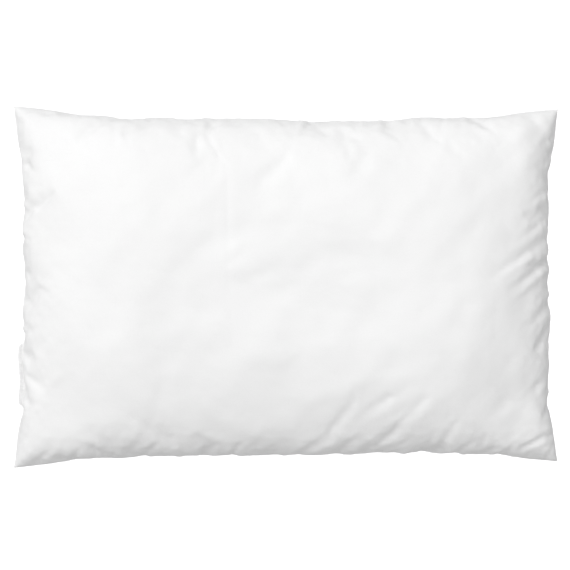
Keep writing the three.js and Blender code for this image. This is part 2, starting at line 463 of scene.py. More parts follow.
@dataclass
class Envelope:
    """Both panels sewn into one closed bag and filled, before it is parted again into its pieces."""

    length: float = 0.750
    width: float = 0.500
    columns: int = 130
    rows: int = 87
    corners: tuple[Corner, ...] = (
        Corner(-0.364, -0.242),
        Corner(0.363, -0.233),
        Corner(0.364, 0.238),
        Corner(-0.364, 0.242),
    )
    middles: dict[Edge, float] = field(
        default_factory=lambda: {Edge.NEAR: -0.222, Edge.RIGHT: 0.3475, Edge.FAR: 0.221, Edge.LEFT: -0.3455}
    )
    loft: float = 0.156
    seam_height: float = 0.066
    belly: float = 0.078
    corner_drop: float = 0.022
    gathers: float = 0.04
    gather_band: float = 3 * MM
    gather_mean: float = 0.5
    gather_swing: float = 0.4
    gather_wave: float = 0.05
    corner_free: float = 0.05
    corner_fade: float = 0.06
    ear: float = 0.13
    ear_place: float = 0.84
    ear_width: float = 0.12
    crown: float = 30 * MM
    crown_power: float = 2.5
    crown_roundness: float = 0.8
    unevenness: float = 1.2 * MM
    uneven_wave: float = 0.09
    underside_softness: float = 5 * MM
    flanks: dict[Side, tuple[Flank, Flank]] = field(
        default_factory=lambda: {
            Side.FRONT: (Flank(30, 0.020, 52, 0.22, 1.4), Flank(60, 0.025, 30, 0.20, 1.1)),
            Side.BACK: (Flank(8, 0.012, 54, 0.17, 1.1), Flank(8, 0.012, 54, 0.17, 1.1)),
        }
    )
    rings: int = 40
    pressure: float = 7.0
    steps: int = 13

    @property
    def halves(self) -> Points:
        """Half the cloth's length and half its width."""
        return np.array([self.length, self.width]) / 2

    @property
    def cut_size(self) -> tuple[float, float]:
        """The size that each panel is cut to, with its seam allowance."""
        return self.length + 2 * SEAM_ALLOWANCE, self.width + 2 * SEAM_ALLOWANCE

    def inset(self, flat: Points) -> Points:
        """Measures how far each flat place is from the seam, along the cloth."""
        return np.maximum(0.0, (self.halves - np.abs(flat)).min(axis=1))

    def make(self) -> Piece:
        """Cuts, sews, fills and settles the bag.

        Returns:
            The closed bag, with its front faces in material slot 0 and its back faces in slot 1.
        """
        bag = self._cut()
        self._gather(bag)
        self._fill(bag)
        self._settle(bag)
        return bag

    def _cut(self) -> Piece:
        """Lays the two flat panels on each other and joins them along their edge.

        Returns:
            The flat bag, with its panels a little apart inside the seam.
        """
        deselect_all()
        bpy.ops.mesh.primitive_grid_add(x_subdivisions=self.columns, y_subdivisions=self.rows, size=2)
        bag = bpy.context.object
        bag.name = "pillow_envelope"
        with edit_mode(bag):
            bpy.ops.transform.resize(value=(*self.halves, 1))
        self._map_cloth(bag)
        self._crown(bag, Side.FRONT, 0)
        with edit_mode(bag):
            bpy.ops.mesh.duplicate()
            bpy.ops.mesh.flip_normals()
        self._crown(bag, Side.BACK, len(bag.data.vertices) // 2)
        faces = len(bag.data.polygons)
        bag.data.materials.append(None)
        bag.data.materials.append(None)
        bag.data.polygons.foreach_set("material_index", [int(i >= faces // 2) for i in range(faces)])
        with edit_mode(bag):
            bpy.ops.mesh.remove_doubles(threshold=SEWN)
        return bag

    def _map_cloth(self, bag: Piece) -> None:
        """Stores each vertex's flat place as the cloth's own map, in metres.

        Args:
            bag: The bag of two joined panels.
        """
        layer = bag.data.uv_layers[0]
        layer.name = "cloth"
        corners = np.zeros(len(bag.data.loops), dtype=np.int32)
        bag.data.loops.foreach_get("vertex_index", corners)
        layer.uv.foreach_set("vector", read_points(bag)[corners, :2].ravel())

    def _crown(self, bag: Piece, side: Side, first: int) -> None:
        """Raises one panel a little off the other, unevenly, so that the filling can get in.

        Args:
            bag: The bag of two joined panels.
            side: Which panel to raise.
            first: The number of the panel's first vertex.
        """
        points = read_points(bag)
        flat = points[first:, :2]
        drop = 1 - np.abs(flat / self.halves) ** self.crown_power
        swell = np.clip(drop[:, 0] * drop[:, 1], 0, 1) ** self.crown_roundness
        uneven = self.unevenness * undulation(flat, self.uneven_wave, Chance.CROWN.value + side.value)
        points[first:, 2] = side.value * self.crown * swell + uneven * np.sqrt(swell)
        write_points(bag, points)

    def _gather(self, bag: Piece) -> None:
        """Weights the seam for how strongly the sewing draws each stretch of it together.

        Args:
            bag: The bag of two joined panels.
        """
        group = bag.vertex_groups.new(name="seam")
        flat = read_points(bag)[:, :2]
        gap = self.halves - np.abs(flat)
        draw = self.gather_mean + self.gather_swing * undulation(flat, self.gather_wave, Chance.GATHERS.value)
        draw *= ease((gap.max(axis=1) - self.corner_free) / self.corner_fade)
        for i in np.nonzero(gap.min(axis=1) < self.gather_band)[0]:
            group.add([int(i)], float(np.clip(draw[i], 0, 1)), "REPLACE")

    def _fill(self, bag: Piece) -> None:
        """Blows the bag up with its filling and keeps the shape it takes.

        Args:
            bag: The bag of two joined panels.
        """
        modifier = bag.modifiers.new("filling", "CLOTH")
        cloth = modifier.settings
        cloth.quality = 6
        cloth.mass = 0.25
        cloth.air_damping = 1.0
        cloth.tension_stiffness = 20
        cloth.compression_stiffness = 12
        cloth.shear_stiffness = 6
        cloth.bending_stiffness = 0.6
        cloth.use_pressure = True
        cloth.uniform_pressure_force = self.pressure
        cloth.vertex_group_shrink = "seam"
        cloth.shrink_max = self.gathers
        cloth.effector_weights.gravity = 0
        modifier.collision_settings.use_collision = False
        modifier.point_cache.frame_start = 1
        modifier.point_cache.frame_end = self.steps + 1
        for step in range(1, self.steps + 1):
            bpy.context.scene.frame_set(step)
        apply_modifier(bag, modifier)
        bpy.context.scene.frame_set(1)
        bag.vertex_groups.clear()
        spans = np.ptp(read_points(bag), axis=0)
        log.info("filled bag spans %.3f x %.3f x %.3f m", *spans)

    def _settle(self, bag: Piece) -> None:
        """Brings the filled bag to its corners and its loft, and flattens it where it rests.

        Args:
            bag: The bag of two joined panels.
        """
        points = read_points(bag)
        flat = read_flat(bag)
        self._to_corners(points, flat)
        self._draw_sides(points, flat)
        self._lay_flanks_over(points, flat)
        self._to_loft(points)
        write_points(bag, points)

    def _nearest(self, flat: Points, x: float, y: float) -> int:
        """Finds the vertex that was cut closest to a flat place."""
        return int(np.argmin((flat[:, 0] - x) ** 2 + (flat[:, 1] - y) ** 2))

    def _to_corners(self, points: Points, flat: Points) -> None:
        """Stretches the plan so that the seam's four corners come to their places.

        Args:
            points: One row of X, Y, Z for each vertex, changed in place.
            flat: One row of flat X, Y for each vertex.
        """
        signs = ((-1, -1), (1, -1), (1, 1), (-1, 1))
        share = flat / self.halves
        shift = np.zeros((len(points), 2))
        for (sx, sy), corner in zip(signs, self.corners):
            here = points[self._nearest(flat, *(self.halves * (sx, sy))), :2]
            weight = (1 + sx * share[:, 0]) * (1 + sy * share[:, 1]) / 4
            shift += weight[:, None] * (np.array([corner.x, corner.y]) - here)
        points[:, :2] += shift

    def _draw_sides(self, points: Points, flat: Points) -> None:
        """Brings the middle of each side to its place, easing off towards the corners and the centre.

        Args:
            points: One row of X, Y, Z for each vertex, changed in place.
            flat: One row of flat X, Y for each vertex.
        """
        share = flat / self.halves
        for edge, place in self.middles.items():
            axis = edge.axis
            middle = [0.0, 0.0]
            middle[axis] = edge.sign * self.halves[axis]
            here = points[self._nearest(flat, *middle), axis]
            outward = np.clip(edge.sign * share[:, axis], 0, 1)
            across = np.abs(share[:, 1 - axis])
            between = 1 - across**3
            if axis == 0:
                ear = self.ear * np.exp(-(((across - self.ear_place) / self.ear_width) ** 2))
                between = (1 - np.clip(across, 0, 1) ** 2) ** 1.5 + ear * (1 - across**8)
            log.info("%s side moves %.1f mm", edge.name.lower(), (place - here) / MM)
            points[:, axis] += (place - here) * ease(outward) * between

    def _lay_flanks_over(self, points: Points, flat: Points) -> None:
        """Leans the upright flanks of the blown-up bag inwards, since fibre fills it less tautly than air.

        Args:
            points: One row of X, Y, Z for each vertex, changed in place.
            flat: One row of flat X, Y for each vertex.
        """
        halves = self.halves
        share = flat / halves
        for side in Side:
            on_side = side.value * points[:, 2] > 0
            level = np.ones(len(points))
            shift = np.zeros((len(points), 2))
            for axis in (0, 1):
                inset = halves[axis] - np.abs(flat[:, axis])
                across = np.abs(share[:, 1 - axis])
                middle = on_side & (across < 0.5)
                rings = np.linspace(0, halves[axis], self.rings)
                plan = np.interp(rings, *self._mean_ring(inset[middle], np.abs(points[middle, axis])))
                height = np.interp(rings, *self._mean_ring(inset[middle], np.abs(points[middle, 2])))
                lean, rise = self.flanks[side][axis].section(rings)
                move = (lean - (plan[0] - plan)) * (1 - (rings / halves[axis]) ** 4)
                scale = (rise / rise[-1]) / np.maximum(height / height[-1], 0.01)
                scale[0] = scale[1]
                shift[:, axis] = -np.sign(share[:, axis]) * np.interp(inset, rings, move) * (1 - across**3)
                level *= 1 + (np.interp(inset, rings, scale) - 1) * (1 - across**4)
            points[on_side, :2] += shift[on_side]
            points[on_side, 2] *= level[on_side]

    @staticmethod
    def _mean_ring(inset: Points, values: Points) -> tuple[Points, Points]:
        """Averages values over the rings of cloth at each distance from the seam.

        Args:
            inset: How far each place is from the seam.
            values: The numbers to average.

        Returns:
            The rings' distances from the seam, and the mean of each.
        """
        ring = np.round(inset / MM).astype(int)
        count = np.bincount(ring)
        used = count > 0
        total = np.bincount(ring, weights=values)
        return np.nonzero(used)[0] * MM, total[used] / count[used]

    def _to_loft(self, points: Points) -> None:
        """Sets the height above and below the seam, lets the corners hang and rests the underside.

        Args:
            points: One row of X, Y, Z for each vertex, changed in place.
        """
        height = points[:, 2]
        lowest, highest = np.percentile(height, (0.1, 99.9))
        rise = (self.loft - self.seam_height) / highest
        fall = self.belly / -lowest
        height = np.where(height > 0, height * rise, height * fall)
        reach = (points[:, 0] / self.corners[2].x) ** 2 * (points[:, 1] / self.corners[2].y) ** 2
        height += self.seam_height - self.corner_drop * np.clip(reach, 0, 1)
        height = 0.5 * (height + np.sqrt(height**2 + self.underside_softness**2))
        points[:, 2] = height - height.min()


@dataclass
class Surface:
    """The finer surface of the filled bag: its folds, the seam's ridge and the lumps of the filling."""

    envelope: Envelope
    lump: float = 0.30 * MM
    crumple: float = 0.08 * MM
    ridge: float = 0.35 * MM
    lump_size: float = 0.11
    small_lump: float = 0.7
    small_lump_size: float = 0.045
    crumple_size: float = 0.016
    crumple_inside: float = 0.6
    crumple_at_edge: float = 2.6
    edge_zone: float = 0.09
    ridge_slope: float = 4 * MM
    seam_fade: float = 5 * MM
    pucker_depth_in_front: float = 0.5
    notch_reach: float = 16 * MM
    bow: float = 15

    def refine(self, bag: Piece) -> None:
        """Subdivides the bag and works its folds into it.

        Args:
            bag: The filled bag.
        """
        self._sharpen_seam(bag)
        subdivide(bag)
        points = read_points(bag)
        normals = read_normals(bag)
        flat = read_flat(bag)
        inset = self.envelope.inset(flat)
        front = ease((normals[:, 2] + 0.25) / 0.5)
        lift = self._lumps(flat, inset, normals)
        lift += front * self._fold_lift(points, front_folds())
        lift += (1 - front) * self._fold_lift(points, self._puckers(Side.BACK))
        lift += front * self.pucker_depth_in_front * self._fold_lift(points, self._puckers(Side.FRONT))
        lift *= ease(inset / self.seam_fade)
        points += normals * lift[:, None]
        self._notch(points, inset, front_folds())
        points[:, 2] = np.maximum(points[:, 2], 0.0)
        write_points(bag, points)

    def _sharpen_seam(self, bag: Piece) -> None:
        """Creases the seam's edges so that subdividing keeps them sharp.

        Args:
            bag: The bag of two joined panels.
        """
        on_seam = self.envelope.inset(read_flat(bag)) < ON_SEAM
        with edit_mode(bag, "DESELECT"):
            bpy.ops.mesh.select_mode(type="EDGE")
        for edge in bag.data.edges:
            edge.select = bool(on_seam[edge.vertices[0]] and on_seam[edge.vertices[1]])
        with edit_mode(bag, ""):
            bpy.ops.transform.edge_crease(value=1.0)

    def _lumps(self, flat: Points, inset: Points, normals: Points) -> Points:
        """Raises the cloth over the lumps of the filling and over the seam allowance inside.

        Args:
            flat: One row of flat X, Y for each vertex.
            inset: How far each vertex is from the seam.
            normals: The way each vertex faces.

        Returns:
            How far the cloth is raised at each vertex.
        """
        uneven = self.lump * undulation(flat, self.lump_size, Chance.LUMPS.value)
        small = undulation(flat, self.small_lump_size, Chance.SMALL_LUMPS.value)
        uneven = uneven + self.small_lump * self.lump * small
        strength = self.crumple_inside + self.crumple_at_edge * (1 - ease(inset / self.edge_zone))
        uneven += self.crumple * strength * undulation(flat, self.crumple_size, Chance.CRUMPLES.value)
        step = 1 - ease((inset - SEAM_ALLOWANCE + self.ridge_slope / 2) / self.ridge_slope)
        uneven = uneven + self.ridge * step
        resting = ease((-normals[:, 2] - 0.985) / 0.015)
        return uneven * (1 - resting)

    def _fold_lift(self, points: Points, folds: list[Fold]) -> Points:
        """Sums the lift of several folds.

        Args:
            points: One row of X, Y, Z for each vertex.
            folds: The folds, in millimetres.

        Returns:
            The folds' whole lift at each vertex.
        """
        total = np.zeros(len(points))
        for fold in folds:
            total += fold.lift(points[:, :2])
        return total

    def _notch(self, points: Points, inset: Points, folds: list[Fold]) -> None:
        """Draws the seam in where the folds start from it.

        Args:
            points: One row of X, Y, Z for each vertex, changed in place.
            inset: How far each vertex is from the seam.
            folds: The folds, in millimetres.
        """
        pull = np.zeros(len(points))
        for fold in folds:
            pull += fold.pull(points[:, :2])
        pull *= 1 - ease(inset / self.notch_reach)
        centre = points[:, :2] / np.array([self.envelope.length, self.envelope.width])
        inward = -np.sign(centre) * (np.abs(centre) == np.abs(centre).max(axis=1, keepdims=True))
        points[:, :2] += inward * pull[:, None]

    def _puckers(self, side: Side) -> list[Fold]:
        """Scatters small folds round the seam of one panel, as sewing leaves them.

        Args:
            side: The panel that they are in.

        Returns:
            The small folds.
        """
        chance = np.random.default_rng(Chance.PUCKERS.value + side.value)
        corners = [(c.x / MM, c.y / MM) for c in self.envelope.corners]
        folds = []
        for i, start in enumerate(corners):
            end = corners[(i + 1) % 4]
            side_length = math.dist(start, end)
            heading = math.atan2(end[1] - start[1], end[0] - start[0])
            place = chance.uniform(24, 44)
            while place < side_length - 26:
                share = place / side_length
                bow = self.bow * (1 - abs(2 * share - 1) ** 3)
                x = start[0] + (end[0] - start[0]) * share - bow * math.sin(heading)
                y = start[1] + (end[1] - start[1]) * share + bow * math.cos(heading)
                lean = heading + math.pi / 2 + chance.uniform(-0.7, 0.7)
                reach = chance.uniform(12, 42)
                tip = (x + reach * math.cos(lean), y + reach * math.sin(lean))
                folds.append(Fold((x, y), tip, chance.uniform(3.2, 6.5), -chance.uniform(0.8, 2.6)))
                place += chance.uniform(18, 52)
        return folds


# --- Finishes -----------------------------------------------------------------------------------------------


def set_range(node: bpy.types.Node, low: float, high: float, start: float, end: float) -> None:
    """Sets a Map Range node to turn the range from low to high into the range from start to end."""
    for socket, number in zip(("From Min", "From Max", "To Min", "To Max"), (low, high, start, end)):
        node.inputs[socket].default_value = number


class Desk:
    """A material's node tree, with short ways to add and join its nodes."""

    def __init__(self, name: str) -> None:
        """Starts a material with nothing but its shader.

        Args:
            name: The material's name.
        """
        self.material = bpy.data.materials.new(name)
        self.material.use_nodes = True
        self.tree = self.material.node_tree
        self.shader = self.tree.nodes["Principled BSDF"]

    def add(self, kind: str, **settings: object) -> bpy.types.Node:
        """Adds a node.

        Args:
            kind: The node's type, such as ShaderNodeTexNoise.
            settings: The node's own properties and their values.

        Returns:
            The new node.
        """
        node = self.tree.nodes.new(kind)
        for key, value in settings.items():
            setattr(node, key, value)
        return node

    def join(self, source: Socket, target: Socket) -> None:
        """Links an output to an input."""
        self.tree.links.new(source, target)

    def map(self, layer: str) -> Socket:
        """Gives a mesh's own map as coordinates, in metres along the cloth."""
        return self.add("ShaderNodeUVMap", uv_map=layer).outputs["UV"]

    def place(self) -> Socket:
        """Gives a point's place on the piece as coordinates, in metres."""
        return self.add("ShaderNodeTexCoord").outputs["Object"]

    def scaled(self, coordinates: Socket, scale: tuple[float, float, float]) -> Socket:
        """Stretches coordinates along each axis.

        Args:
            coordinates: The coordinates to stretch.
            scale: The factor for each axis.

        Returns:
            The stretched coordinates.
        """
        node = self.add("ShaderNodeMapping")
        node.inputs["Scale"].default_value = scale
        self.join(coordinates, node.inputs["Vector"])
        return node.outputs["Vector"]

    def noise(self, coordinates: Socket, scale: float, detail: float = 2.0) -> Socket:
        """Adds an uneven pattern with that many lumps to a unit of its coordinates.

        Args:
            coordinates: The coordinates that the pattern follows.
            scale: How many lumps there are to a unit.
            detail: How fine the smallest lumps are.

        Returns:
            The pattern, from 0 to 1.
        """
        node = self.add("ShaderNodeTexNoise")
        node.inputs["Scale"].default_value = scale
        node.inputs["Detail"].default_value = detail
        self.join(coordinates, node.inputs["Vector"])
        return node.outputs["Fac"]

    def bands(self, coordinates: Socket, pitch: float, axis: str) -> Socket:
        """Adds rounded parallel bands, one to each pitch along an axis.

        Args:
            coordinates: The coordinates that the pattern follows.
            pitch: The distance from one band to the next.
            axis: The axis that they follow each other on.

        Returns:
            The pattern, from 0 to 1.
        """
        node = self.add("ShaderNodeTexWave", wave_type="BANDS", bands_direction=axis)
        node.inputs["Scale"].default_value = FULL_TURN / (20 * pitch)
        node.inputs["Distortion"].default_value = 0.0
        self.join(coordinates, node.inputs["Vector"])
        return node.outputs["Fac"]

    def sum(self, first: object, second: object, how: str = "ADD") -> Socket:
        """Adds, multiplies or compares two values, each a socket or a number.

        Args:
            first: The first value.
            second: The second value.
            how: The Math node's operation.

        Returns:
            The result.
        """
        node = self.add("ShaderNodeMath", operation=how)
        for value, socket in zip((first, second), node.inputs):
            if isinstance(value, Socket):
                self.join(value, socket)
            else:
                socket.default_value = value
        return node.outputs["Value"]

    def limits(self, value: Socket, low: float, high: float, start: float, end: float) -> Socket:
        """Turns the range from low to high into the range from start to end.

        Args:
            value: The value to turn.
            low: The start of its range.
            high: The end of its range.
            start: What low becomes.
            end: What high becomes.

        Returns:
            The turned value.
        """
        node = self.add("ShaderNodeMapRange")
        self.join(value, node.inputs["Value"])
        set_range(node, low, high, start, end)
        return node.outputs["Result"]

    def bump(self, height: Socket, depth: float, under: object = None) -> Socket:
        """Turns a height from 0 to 1 into relief of that depth, over any relief already there.

        Args:
            height: The height.
            depth: The relief's depth, in metres.
            under: The relief already there, if any.

        Returns:
            The relief, for the shader's normal.
        """
        node = self.add("ShaderNodeBump")
        node.inputs["Strength"].default_value = 1.0
        node.inputs["Distance"].default_value = depth
        self.join(height, node.inputs["Height"])
        if under is not None:
            self.join(under, node.inputs["Normal"])
        return node.outputs["Normal"]

    def tint(self, share: Socket, dark: float, light: float, warmth: float = 0.0) -> None:
        """Colours the shader between two greys, the second one a little warmer.

        Args:
            share: The share of the lighter grey.
            dark: The darker grey.
            light: The lighter grey.
            warmth: How much blue the lighter grey lacks.
        """
        node = self.add("ShaderNodeMix", data_type="RGBA")
        self.join(share, node.inputs["Factor"])
        ends = {"A": (dark, dark, dark, 1), "B": (light, light, light * (1 - warmth), 1)}
        for socket in node.inputs:
            if socket.type == "RGBA":
                socket.default_value = ends[socket.name]
        colour = [socket for socket in node.outputs if socket.type == "RGBA"][0]
        self.join(colour, self.shader.inputs["Base Color"])

    def finish(self, relief: Socket, pattern: Socket, roughness: tuple[float, ...], sheen: float) -> Material:
        """Joins the relief to the shader and sets its uneven roughness and its sheen.

        Args:
            relief: The relief.
            pattern: The pattern that the roughness follows.
            roughness: The least and the greatest roughness.
            sheen: The weight of the sheen.

        Returns:
            The finished material.
        """
        self.join(relief, self.shader.inputs["Normal"])
        self.join(self.limits(pattern, 0.3, 0.7, *roughness), self.shader.inputs["Roughness"])
        self.shader.inputs["Sheen Weight"].default_value = sheen
        return self.material


@dataclass(frozen=True)
class DownproofCotton:
    """Crisp matt white cotton in a close plain weave, with a few thick threads."""

    dark: float = 0.80
    light: float = 0.85
    thread: float = 0.32 * MM
    slub: float = 0.9 * MM
    slub_stretch: float = 28.0
    slub_shade: float = -0.35
    shades_to_a_metre: float = 9.0
    crinkles_to_a_metre: float = 70.0
    fibres_to_a_metre: float = 420.0
    crinkle_depth: float = 0.35 * MM
    slub_depth: float = 0.03 * MM
    weave_depth: float = 0.02 * MM

    def make(self) -> Material:
        """Makes the material.

        Returns:
            The material.
        """
        desk = Desk("white_downproof_cotton")
        cloth = desk.map("cloth")
        warp = desk.bands(cloth, self.thread, "X")
        weft = desk.bands(cloth, self.thread, "Y")
        weave = desk.sum(warp, weft, "MULTIPLY")
        lengthwise = self._slubs(desk, cloth, (1.0, self.slub_stretch, 1.0))
        crosswise = self._slubs(desk, cloth, (self.slub_stretch, 1.0, 1.0))
        slubs = desk.sum(lengthwise, crosswise, "MAXIMUM")
        tone = desk.noise(cloth, self.shades_to_a_metre, 3.0)
        fine = desk.noise(cloth, self.fibres_to_a_metre, 2.0)
        share = desk.sum(desk.limits(tone, 0.35, 0.65, 0.35, 0.75), desk.limits(fine, 0.3, 0.7, -0.12, 0.12))
        share = desk.sum(share, desk.sum(slubs, self.slub_shade, "MULTIPLY"))
        desk.tint(share, self.dark, self.light)
        relief = desk.bump(desk.noise(cloth, self.crinkles_to_a_metre, 4.0), self.crinkle_depth)
        relief = desk.bump(slubs, self.slub_depth, relief)
        relief = desk.bump(weave, self.weave_depth, relief)
        desk.shader.inputs["Specular IOR Level"].default_value = 0.25
        desk.shader.inputs["Sheen Roughness"].default_value = 0.5
        return desk.finish(relief, fine, roughness=(0.80, 0.92), sheen=0.08)

    def _slubs(self, desk: Desk, cloth: Socket, stretch: tuple[float, float, float]) -> Socket:
        """Makes sparse short thick threads that run across the stretched axis."""
        pattern = desk.noise(desk.scaled(cloth, stretch), 1 / (self.slub_stretch * self.slub), 0.0)
        return desk.limits(pattern, 0.78, 0.84, 0.0, 1.0)


@dataclass(frozen=True)
class SpunThread:
    """White spun polyester sewing thread, twisted from three plies, with painted shade in the grooves between
    the plies.
    """

    ply: float = 0.5 * MM
    ply_depth: float = 0.06 * MM

    def make(self) -> Material:
        """Makes the material.

        Returns:
            The material.
        """
        desk = Desk("white_spun_thread")
        place = desk.place()
        twist = desk.bands(place, self.ply, "DIAGONAL")
        fuzz = desk.noise(place, 3000.0, 2.0)
        # Painted shade: the colour follows the twist's relief, darker in the grooves between the plies and
        # lighter on their crowns.
        desk.tint(desk.sum(twist, desk.limits(fuzz, 0.3, 0.7, -0.2, 0.2)), 0.70, 0.90)
        return desk.finish(desk.bump(twist, self.ply_depth), fuzz, roughness=(0.5, 0.7), sheen=0.1)


@dataclass(frozen=True)
class LooseFibre:
    """Lofty white polyester fibre, teased into soft clumps, with painted shade in the hollows between them.
    """

    clumps_to_a_metre: float = 60.0
    clump_depth: float = 2.0 * MM
    strand_depth: float = 0.4 * MM

    def make(self) -> Material:
        """Makes the material.

        Returns:
            The material.
        """
        desk = Desk("white_loose_fibre")
        place = desk.place()
        clumps = desk.noise(place, self.clumps_to_a_metre, 6.0)
        strands = desk.noise(desk.scaled(place, (1.0, 6.0, 3.0)), 400.0, 4.0)
        # Painted shade: the colour follows the clumps' and strands' relief, darker in the hollows between
        # them and lighter on their tops.
        desk.tint(desk.sum(clumps, strands, "MULTIPLY"), 0.78, 0.96, 0.01)
        relief = desk.bump(clumps, self.clump_depth)
        relief = desk.bump(strands, self.strand_depth, relief)
        return desk.finish(relief, strands, roughness=(0.9, 1.0), sheen=0.3)


@dataclass(frozen=True)
class SatinTape:
    """Soft white woven satin label tape, left blank, with painted shade between its ribs and floats."""

    rib: float = 0.35 * MM
    rib_depth: float = 0.04 * MM
    float_depth: float = 0.05 * MM

    def make(self) -> Material:
        """Makes the material.

        Returns:
            The material.
        """
        desk = Desk("white_satin_tape")
        cloth = desk.map("cloth")
        ribs = desk.bands(cloth, self.rib, "Y")
        floats = desk.noise(desk.scaled(cloth, (8.0, 1.0, 1.0)), 500.0, 2.0)
        # Painted shade: the colour follows the ribs' and floats' relief, darker where they dip and lighter on
        # their tops.
        desk.tint(desk.sum(ribs, floats, "MULTIPLY"), 0.86, 0.92)
        relief = desk.bump(ribs, self.rib_depth)
        relief = desk.bump(floats, self.float_depth, relief)
        return desk.finish(relief, floats, roughness=(0.32, 0.48), sheen=0.15)


@dataclass(frozen=True)
class PaperSweep:
    """The pale matt paper that the studio floor is covered with."""

    tone: float = 0.9

    def make(self) -> Material:
        """Makes the material.

        Returns:
            The material.
        """
        desk = Desk("studio_paper")
        desk.tint(desk.noise(desk.place(), 3.0, 2.0), self.tone - 0.01, self.tone)
        desk.shader.inputs["Roughness"].default_value = 0.85
        return desk.material


# --- The seam -----------------------------------------------------------------------------------------------


@dataclass
class SeamSide:
    """One side of the seam, as it runs round the filled pillow."""

    shares: Points
    places: Points

    @property
    def length(self) -> float:
        """The side's length along the seam."""
        return float(np.sum(np.linalg.norm(np.diff(self.places, axis=0), axis=1)))

    def at(self, share: float) -> Points:
        """Gives the point at a share of the side."""
        return np.array([np.interp(share, self.shares, self.places[:, axis]) for axis in range(3)])

    def inward(self, share: float) -> Points:
        """Gives the level direction that points into the pillow, square to the seam.

        Args:
            share: The share of the side.

        Returns:
            The unit direction.
        """
        reach = 0.02
        run = self.at(min(1.0, share + reach)) - self.at(max(0.0, share - reach))
        square = np.array([-run[1], run[0], 0.0])
        return square / np.linalg.norm(square)

    def offset(self, share: float, inset: float, lift: float) -> Points:
        """Gives the point that lies in from the seam by an inset, mitred at the corners, and up by a lift.

        Args:
            share: The share of the side.
            inset: How far in, or out if it is negative.
            lift: How far up.

        Returns:
            The point.
        """
        mitre = max(0.0, inset) / self.length
        kept = mitre + share * (1 - 2 * mitre)
        return self.at(kept) + inset * self.inward(kept) + np.array([0.0, 0.0, lift])


@dataclass
class Seam:
    """The whole seam round the filled pillow."""

    envelope: Envelope
    sides: dict[Edge, SeamSide] = field(default_factory=dict)

    def trace(self, bag: Piece) -> None:
        """Reads the seam's path from the finished bag.

        Args:
            bag: The filled and refined bag.
        """
        points = read_points(bag)
        flat = read_flat(bag)
        for edge in Edge:
            on_edge = np.nonzero(self._gap(flat, edge) < ON_SEAM)[0]
            shares = self._share(flat[on_edge], edge)
            order = np.argsort(shares)
            self.sides[edge] = SeamSide(shares[order], points[on_edge[order]])

    def locate(self, flat: Points) -> list[tuple[Edge, float]]:
        """Tells where on the seam a flat place lies: on one side, or on two at a corner.

        Args:
            flat: One flat X, Y.

        Returns:
            Each side that the place lies on, with its share there.
        """
        row = flat[None, :]
        found = [edge for edge in Edge if self._gap(row, edge)[0] < ON_SEAM]
        return [(edge, float(self._share(row, edge)[0])) for edge in found]

    def offset(self, flat: Points, inset: float, lift: float) -> Points:
        """Gives the point in from a place on the seam by an inset, and up by a lift."""
        spots = [self.sides[edge].offset(share, inset, lift) for edge, share in self.locate(flat)]
        return np.mean(spots, axis=0)

    def ring(self, inset: float, lift: float, pitch: float) -> Points:
        """Gives a closed row of points round the pillow, evenly spaced on each side.

        Args:
            inset: How far in from the seam.
            lift: How far up.
            pitch: About how far apart.

        Returns:
            One row of X, Y, Z for each point.
        """
        rows = []
        for side in self.sides.values():
            count = max(2, round(side.length / pitch))
            rows += [side.offset(i / count, inset, lift) for i in range(count)]
        return np.array(rows)

    def share_at(self, edge: Edge, place: float) -> float:
        """Finds the share of a short side at which the seam passes a Y."""
        side = self.sides[edge]
        return float(side.shares[np.argmin(np.abs(side.places[:, 1] - place))])

    def _gap(self, flat: Points, edge: Edge) -> Points:
        """Measures how far flat places lie from one side of the cloth."""
        return np.abs(edge.sign * self.envelope.halves[edge.axis] - flat[:, edge.axis])

    def _share(self, flat: Points, edge: Edge) -> Points:
        """Turns flat places on one side into shares of it, anticlockwise.

        Args:
            flat: One row of flat X, Y for each place.
            edge: The side.

        Returns:
            The shares.
        """
        along = 1 - edge.axis
        share = flat[:, along] / (2 * self.envelope.halves[along]) + 0.5
        return 1 - share if edge in (Edge.FAR, Edge.LEFT) else share


# --- The pieces ---------------------------------------------------------------------------------------------


